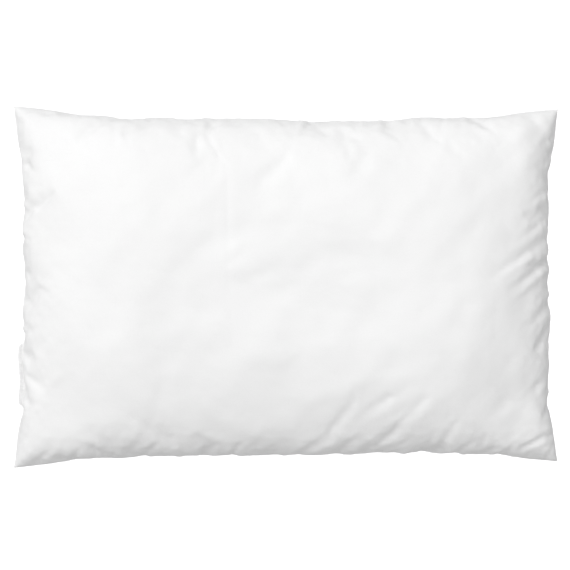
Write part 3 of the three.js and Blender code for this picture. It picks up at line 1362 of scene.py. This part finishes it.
@dataclass
class CottonCover:
    """The cover's two panels, with the seam allowance turned in and the stuffing gap's lip turned out."""

    seam: Seam
    thickness: float = 0.35 * MM
    join_gap: float = 0.10 * MM
    lip_width: float = 6 * MM
    lip_thickness: float = 0.8 * MM
    lip_from: float = -0.158
    lip_to: float = -0.076
    lip_root: float = 2.5 * MM
    lip_taper: float = 0.06
    lip_end: float = 0.35
    lip_wave: float = 0.25 * MM
    finish: DownproofCotton = DownproofCotton()

    def build(self, bag: Piece) -> dict[Side, Piece]:
        """Parts the filled bag into its two panels and finishes their edges.

        Args:
            bag: The filled and refined bag. It becomes the two panels.

        Returns:
            The front and the back panel.
        """
        panels = self._part(bag)
        cotton = self.finish.make()
        for side, panel in panels.items():
            self._turn_in_allowance(panel, side)
            thicken(panel, self.thickness, -1.0)
            self._add_lip(panel, side)
            dress(panel, cotton)
        return panels

    def _part(self, bag: Piece) -> dict[Side, Piece]:
        """Separates the front and back faces of the bag.

        Args:
            bag: The bag of two joined panels.

        Returns:
            The front and the back panel.
        """
        before = set(bpy.data.objects)
        with edit_mode(bag):
            bpy.ops.mesh.separate(type="MATERIAL")
        other = (set(bpy.data.objects) - before).pop()
        pair = sorted((bag, other), key=lambda piece: -read_points(piece)[:, 2].mean())
        panels = dict(zip((Side.FRONT, Side.BACK), pair))
        for side, panel in panels.items():
            panel.name = f"{side.name.lower()}_cotton_panel"
            panel.data.name = panel.name
        return panels

    def _turn_in_allowance(self, panel: Piece, side: Side) -> None:
        """Extrudes the panel's edge into the pillow as its seam allowance.

        Args:
            panel: The panel.
            side: Which of the two it is.
        """
        with edit_mode(panel, "DESELECT"):
            bpy.ops.mesh.select_mode(type="EDGE")
            bpy.ops.mesh.select_non_manifold()
        flat = read_flat(panel)
        old = len(panel.data.vertices)
        points = read_points(panel)
        rim = {self._key(points[i]): flat[i] for i in range(old) if panel.data.vertices[i].select}
        with edit_mode(panel, ""):
            bpy.ops.mesh.extrude_edges_move()
        points = read_points(panel)
        lift = side.value * self.join_gap
        cut = {}
        for i in range(old, len(points)):
            cut[i] = rim[self._key(points[i])]
            points[i] = self.seam.offset(cut[i], SEAM_ALLOWANCE, lift)
        write_points(panel, points)
        self._map_allowance(panel, cut)

    def _map_allowance(self, panel: Piece, cut: dict[int, Points]) -> None:
        """Continues the cloth's map over the seam allowance.

        Args:
            panel: The panel.
            cut: The flat place on the seam that each new vertex came from.
        """
        layer = panel.data.uv_layers["cloth"].uv
        half = self.seam.envelope.halves
        for corner in panel.data.loops:
            flat = cut.get(corner.vertex_index)
            if flat is not None:
                outward = np.sign(flat) * (np.abs(flat) > half - MM)
                layer[corner.index].vector = flat + SEAM_ALLOWANCE * outward

    @staticmethod
    def _key(point: Points) -> tuple[int, ...]:
        """Names a place to a hundredth of a millimetre."""
        return tuple(int(round(value / SEWN)) for value in point)

    def _add_lip(self, panel: Piece, side: Side) -> None:
        """Joins on the folded strip of the closed stuffing gap.

        Args:
            panel: The panel.
            side: Which of the two it is.
        """
        deselect_all()
        bpy.ops.mesh.primitive_grid_add(x_subdivisions=54, y_subdivisions=6, size=1)
        lip = bpy.context.object
        lip.data.uv_layers[0].name = "cloth"
        left = self.seam.sides[Edge.LEFT]
        start = self.seam.share_at(Edge.LEFT, self.lip_to)
        end = self.seam.share_at(Edge.LEFT, self.lip_from)
        points = read_points(lip)
        for i, (along, across, _) in enumerate(points.copy()):
            share = start + (end - start) * (along + 0.5)
            taper = float(ease(min(along + 0.5, 0.5 - along) / self.lip_taper))
            out = self.lip_width * (self.lip_end + (1 - self.lip_end) * taper)
            inset = self.lip_root - (across + 0.5) * (self.lip_root + out)
            wave = self.lip_wave * math.sin(90 * along) * (across + 0.5)
            points[i] = left.offset(share, inset, side.value * 0.5 * self.lip_thickness + wave)
        write_points(lip, points)
        with edit_mode(lip):
            bpy.ops.mesh.normals_make_consistent(inside=False)
        thicken(lip, self.lip_thickness - self.join_gap, 0.0)
        subdivide(lip)
        activate(panel)
        lip.select_set(True)
        bpy.ops.object.join()


@dataclass
class FibreFilling:
    """The loose fibre that fills the cover, clear of the seam allowance."""

    clearance: float = 2.2 * MM
    rim: float = 16 * MM
    fade: float = 0.060
    least: float = 0.25 * MM
    clumps: float = 0.5 * MM
    clump_size: float = 0.03
    finish: LooseFibre = LooseFibre()

    def build(self, bag: Piece) -> Piece:
        """Makes the filling from a copy of the filled bag.

        Args:
            bag: The filled and refined bag, still in one piece.

        Returns:
            The filling.
        """
        activate(bag)
        bpy.ops.object.duplicate()
        filling = bpy.context.object
        filling.name = filling.data.name = "loose_fibre_filling"
        points = read_points(filling)
        flat = read_flat(filling)
        self._shrink(points, flat)
        write_points(filling, points)
        dress(filling, self.finish.make())
        return filling

    def _shrink(self, points: Points, flat: Points) -> None:
        """Draws the fibre in from the cloth: level with it in the middle and further in at the seam.

        Args:
            points: One row of X, Y, Z for each vertex, changed in place.
            flat: One row of flat X, Y for each vertex.
        """
        half = np.abs(flat).max(axis=0)
        inset = np.minimum(half[0] - np.abs(flat[:, 0]), half[1] - np.abs(flat[:, 1]))
        order = np.lexsort((flat[:, 1].round(5), flat[:, 0].round(5)))
        middle = points[:, 2].copy()
        keys = flat.round(5)
        for first, second in zip(order, order[1:]):
            if (keys[first] == keys[second]).all():
                middle[[first, second]] = points[[first, second], 2].mean()
        gap = points[:, 2] - middle
        clumps = self.clumps * undulation(flat, self.clump_size, Chance.CLUMPS.value)
        kept = np.maximum(np.abs(gap) - self.clearance + clumps, self.least)
        points[:, 2] = middle + np.sign(gap) * kept
        draw = self.clearance + self.rim * (1 - ease(inset / self.fade))
        points[:, 0] *= 1 - draw / np.abs(points[:, 0]).max()
        points[:, 1] *= 1 - draw / np.abs(points[:, 1]).max()


class Thread:
    """Makes rows of stitches from short lengths of round thread."""

    def __init__(self, name: str, diameter: float) -> None:
        """Starts an empty piece of thread work.

        Args:
            name: The piece's name.
            diameter: The thread's diameter.
        """
        self.curve = bpy.data.curves.new(name, "CURVE")
        self.curve.dimensions = "3D"
        self.curve.bevel_depth = diameter / 2
        self.curve.bevel_resolution = 1
        self.curve.use_fill_caps = True
        self.name = name

    def lay(self, path: Points, closed: bool = False) -> None:
        """Lays one length of thread along a path.

        Args:
            path: One row of X, Y, Z for each point.
            closed: Whether the thread comes back to where it starts.
        """
        spline = self.curve.splines.new("POLY")
        spline.points.add(len(path) - 1)
        spline.points.foreach_set("co", np.hstack([path, np.ones((len(path), 1))]).ravel())
        spline.use_cyclic_u = closed

    def finish(self, material: Material) -> Piece:
        """Turns the thread into a mesh piece.

        Args:
            material: The thread's finish.

        Returns:
            The piece.
        """
        piece = bpy.data.objects.new(self.name, self.curve)
        bpy.context.scene.collection.objects.link(piece)
        activate(piece)
        bpy.ops.object.convert(target="MESH")
        piece = bpy.context.object
        with edit_mode(piece):
            bpy.ops.mesh.remove_doubles(threshold=0.001 * MM)
            bpy.ops.mesh.normals_make_consistent(inside=False)
        piece.data.name = self.name
        dress(piece, material)
        return piece


@dataclass
class SeamStitching:
    """The lockstitch and the overlock stitch that join the panels, hidden inside the pillow."""

    seam: Seam
    diameter: float = 0.4 * MM
    pitch: float = 3.0 * MM
    stitch_inset: float = 3.0 * MM
    cloth: float = 0.45 * MM
    bite: float = 3.0 * MM
    loop_pitch: float = 3.2 * MM
    slack: float = 1.3

    def build(self, material: Material) -> list[Piece]:
        """Sews the seam.

        Args:
            material: The thread's finish.

        Returns:
            The needle thread, the bobbin thread and the overlock thread.
        """
        return [
            self._lockstitch("seam_needle_stitches", Side.FRONT, material),
            self._lockstitch("seam_bobbin_stitches", Side.BACK, material),
            self._overlock(material),
        ]

    def _lockstitch(self, name: str, side: Side, material: Material) -> Piece:
        """Makes one thread's row of stitches.

        Args:
            name: The piece's name.
            side: Which face of the seam it lies on.
            material: The thread's finish.

        Returns:
            The thread.
        """
        thread = Thread(name, self.diameter)
        top = side.value * (self.cloth + self.diameter / 2)
        row = self.seam.ring(self.stitch_inset, 0.0, self.pitch)
        parts = np.array([0.06, 0.2, 0.8, 0.94])
        heights = np.array([0.0, top, top, 0.0])
        for here, there in zip(row, np.roll(row, -1, axis=0)):
            path = here + (there - here) * parts[:, None]
            path[:, 2] += heights
            thread.lay(path)
        return thread.finish(material)

    def _overlock(self, material: Material) -> Piece:
        """Makes the thread that wraps the raw edges of both layers.

        Args:
            material: The thread's finish.

        Returns:
            The thread.
        """
        thread = Thread("overlock_stitches", self.diameter)
        up = np.array([0.0, 0.0, self.cloth + self.diameter / 2])
        outer = self.seam.ring(SEAM_ALLOWANCE - self.bite, 0.0, self.loop_pitch)
        inner = self.seam.ring(SEAM_ALLOWANCE + self.diameter, 0.0, self.loop_pitch)
        path = []
        for here, there, edge in zip(outer, np.roll(outer, -1, axis=0), inner):
            path += [here + up, edge + up, edge - up, there * 0.5 + here * 0.5 - up]
            path += [edge * 0.5 + here * 0.5 - self.slack * up]
        thread.lay(np.array(path), closed=True)
        return thread.finish(material)


@dataclass
class ClosingStitching:
    """The topstitch that closes the stuffing gap, which shows on the lip."""

    cover: CottonCover
    diameter: float = 0.45 * MM
    pitch: float = 2.8 * MM
    outset: float = 2.4 * MM

    def build(self, material: Material) -> list[Piece]:
        """Sews the lip shut.

        Args:
            material: The thread's finish.

        Returns:
            The needle thread above and the bobbin thread below.
        """
        return [
            self._row("closing_needle_stitches", Side.FRONT, material),
            self._row("closing_bobbin_stitches", Side.BACK, material),
        ]

    def _row(self, name: str, side: Side, material: Material) -> Piece:
        """Makes one thread's row of stitches.

        Args:
            name: The piece's name.
            side: Which face of the lip it lies on.
            material: The thread's finish.

        Returns:
            The thread.
        """
        seam = self.cover.seam
        left = seam.sides[Edge.LEFT]
        start = seam.share_at(Edge.LEFT, self.cover.lip_to)
        end = seam.share_at(Edge.LEFT, self.cover.lip_from)
        count = round((end - start) * left.length / self.pitch)
        shares = np.linspace(start, end, count + 1)
        top = side.value * (self.cover.lip_thickness + 0.25 * self.diameter)
        sunk = side.value * 0.5 * self.cover.lip_thickness
        thread = Thread(name, self.diameter)
        for here, there in zip(shares, shares[1:]):
            run = there - here
            stitch = ((0.08, sunk), (0.22, top), (0.78, top), (0.92, sunk))
            path = [left.offset(here + run * part, -self.outset, height) for part, height in stitch]
            thread.lay(np.array(path))
        return thread.finish(material)


@dataclass
class CareLabel:
    """A blank tape folded in half, sewn into the left side of the seam and hanging down under the flank."""

    seam: Seam
    width: float = 32 * MM
    hang: float = 50 * MM
    place: float = 0.060
    out: float = 0.7 * MM
    leaf_gap: float = 0.5 * MM
    thickness: float = 0.18 * MM
    curl: float = 1.2 * MM
    ripple: float = 0.35 * MM
    bend: float = 2.0 * MM
    finish: SatinTape = SatinTape()

    @property
    def tape_size(self) -> tuple[float, float]:
        """The tape's width and its length before it is folded."""
        return self.width, 2 * self.hang

    def build(self) -> Piece:
        """Makes the label.

        Returns:
            The label.
        """
        deselect_all()
        bpy.ops.mesh.primitive_grid_add(x_subdivisions=12, y_subdivisions=90, size=1)
        label = bpy.context.object
        label.name = label.data.name = "folded_care_label"
        label.data.uv_layers[0].name = "cloth"
        left = self.seam.sides[Edge.LEFT]
        middle = self.seam.share_at(Edge.LEFT, self.place)
        points = read_points(label)
        for i, (across, along, _) in enumerate(points.copy()):
            share = middle - across * self.width / left.length
            points[i] = self._place(left, share, across, 2 * along)
        write_points(label, points)
        self._map(label)
        thicken(label, self.thickness, 0.0)
        dress(label, self.finish.make())
        return label

    def _place(self, left: SeamSide, share: float, across: float, run: float) -> Points:
        """Places one point of the tape, whose run goes from -1 down to the fold at 0 and up again to 1.

        Args:
            left: The side of the seam that holds the tape.
            share: The share of that side.
            across: The place across the tape, from -0.5 to 0.5.
            run: The place along it, from -1 to 1.

        Returns:
            The point.
        """
        drop = self.hang * (1 - abs(run))
        leaf = np.clip(run / 0.02, -1, 1) * self.leaf_gap / 2
        bend = self.bend * math.exp(-drop / (1.2 * MM))
        curl = self.curl * (drop / self.hang) ** 2 + self.ripple * math.sin(260 * drop + 5 * across)
        inset = -self.out - leaf + bend + 1.5 * curl
        return left.offset(share, inset, -drop - 0.2 * MM * np.sign(run) * (drop < MM))

    def _map(self, label: Piece) -> None:
        """Turns the label's map into metres along the tape.

        Args:
            label: The label.
        """
        layer = label.data.uv_layers["cloth"].uv
        mapped = np.zeros(len(label.data.loops) * 2)
        layer.foreach_get("vector", mapped)
        mapped = mapped.reshape(-1, 2) * np.array(self.tape_size)
        layer.foreach_set("vector", mapped.ravel())


# --- The studio ---------------------------------------------------------------------------------------------


@dataclass
class Studio:
    """The floor, the camera and the lights."""

    view_width: float = 0.7595
    lens: float = 150.0
    sensor: float = 36.0
    aim: tuple[float, float, float] = (-0.0013, 0.0027, 0.050)
    key_direction: tuple[float, float, float] = (-0.40, 0.48, 0.79)
    key_strength: float = 1.69
    floor_strength: float = 4.2
    sky: float = 0.68
    ground: float = 0.34
    lowest: float = -0.5
    highest: float = 0.3
    softness: float = 0.6
    floor_size: float = 60

    def build(self, pieces: list[Piece]) -> None:
        """Lays the floor and sets up the camera and the lights.

        Args:
            pieces: The pillow's pieces, which the key light falls on.
        """
        floor = self._floor()
        self._camera()
        self._lamp("key_light", self.key_direction, self.key_strength, pieces)
        self._lamp("floor_light", (0, 0, 1), self.floor_strength, [floor])
        self._sky()
        bpy.context.scene.view_settings.view_transform = "Standard"

    def _sky(self) -> None:
        """Surrounds the studio with soft light, weaker from below, that looks white to the camera."""
        world = bpy.data.worlds.new("studio_sky")
        bpy.context.scene.world = world
        world.use_nodes = True
        nodes = world.node_tree.nodes
        background = nodes["Background"]
        background.inputs["Color"].default_value = (1, 1, 1, 1)
        direction = nodes.new("ShaderNodeTexCoord").outputs["Generated"]
        parts = nodes.new("ShaderNodeSeparateXYZ")
        fade = nodes.new("ShaderNodeMapRange")
        set_range(fade, self.lowest, self.highest, self.ground, self.sky)
        seen = nodes.new("ShaderNodeLightPath").outputs["Is Camera Ray"]
        strongest = nodes.new("ShaderNodeMath")
        strongest.operation = "MAXIMUM"
        for source, target in (
            (direction, parts.inputs[0]),
            (parts.outputs["Z"], fade.inputs["Value"]),
            (fade.outputs["Result"], strongest.inputs[0]),
            (seen, strongest.inputs[1]),
            (strongest.outputs[0], background.inputs["Strength"]),
        ):
            world.node_tree.links.new(source, target)

    def _floor(self) -> Piece:
        """Lays a wide pale floor that throws no light back up at the pillow.

        Returns:
            The floor.
        """
        deselect_all()
        bpy.ops.mesh.primitive_plane_add(size=self.floor_size)
        floor = bpy.context.object
        floor.name = "studio_floor"
        floor.data.materials.append(PaperSweep().make())
        floor.visible_diffuse = False
        return floor

    def _camera(self) -> None:
        """Hangs the camera straight above the pillow."""
        deselect_all()
        x, y, z = self.aim
        distance = self.view_width * self.lens / self.sensor
        bpy.ops.object.camera_add(location=(x, y, z + distance), rotation=(0, 0, 0))
        camera = bpy.context.object
        camera.name = "studio_camera"
        camera.data.lens = self.lens
        camera.data.sensor_width = self.sensor
        bpy.context.scene.camera = camera

    def _lamp(self, name: str, direction: tuple[float, ...], strength: float, lit: list[Piece]) -> None:
        """Hangs a large distant lamp that lights only some pieces.

        Args:
            name: The lamp's name.
            direction: The way towards the lamp.
            strength: Its strength.
            lit: The pieces that it lights.
        """
        deselect_all()
        turn = Vector(direction).to_track_quat("Z", "Y").to_euler()
        bpy.ops.object.light_add(type="SUN", location=Vector(direction) * 2, rotation=turn)
        lamp = bpy.context.object
        lamp.name = name
        lamp.data.energy = strength
        lamp.data.angle = self.softness
        group = bpy.data.collections.new(f"lit_by_{name}")
        for piece in lit:
            group.objects.link(piece)
        lamp.light_linking.receiver_collection = group


# --- Assembly -----------------------------------------------------------------------------------------------


def fit(piece: Piece, node: str) -> Piece:
    """Fixes a piece to the pillow in place of its CAD solid.

    Args:
        piece: The finished piece.
        node: The CAD node that it stands for.

    Returns:
        The piece.
    """
    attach(piece, "root")
    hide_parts(node)
    log.info("%s: %d faces", piece.name, len(piece.data.polygons))
    return piece


def main() -> None:
    """Builds the pillow and its studio."""
    logging.basicConfig(level=logging.INFO, format="%(name)s: %(message)s")
    envelope = Envelope()
    bag = envelope.make()
    Surface(envelope).refine(bag)
    filling = FibreFilling().build(bag)
    seam = Seam(envelope)
    seam.trace(bag)
    cover = CottonCover(seam)
    panels = cover.build(bag)
    thread = SpunThread().make()
    needle, bobbin, overlock = SeamStitching(seam).build(thread)
    closing_needle, closing_bobbin = ClosingStitching(cover).build(thread)
    care = CareLabel(seam)
    label = care.build()
    pieces = [
        fit(panels[Side.FRONT], "front_panel"),
        fit(panels[Side.BACK], "back_panel"),
        fit(filling, "fibre_filling"),
        fit(needle, "seam_needle_thread"),
        fit(bobbin, "seam_bobbin_thread"),
        fit(overlock, "overlock_thread"),
        fit(closing_needle, "closing_needle_thread"),
        fit(closing_bobbin, "closing_bobbin_thread"),
        fit(label, "care_label"),
    ]
    Studio().build(pieces)


if __name__ == "__main__":
    main()
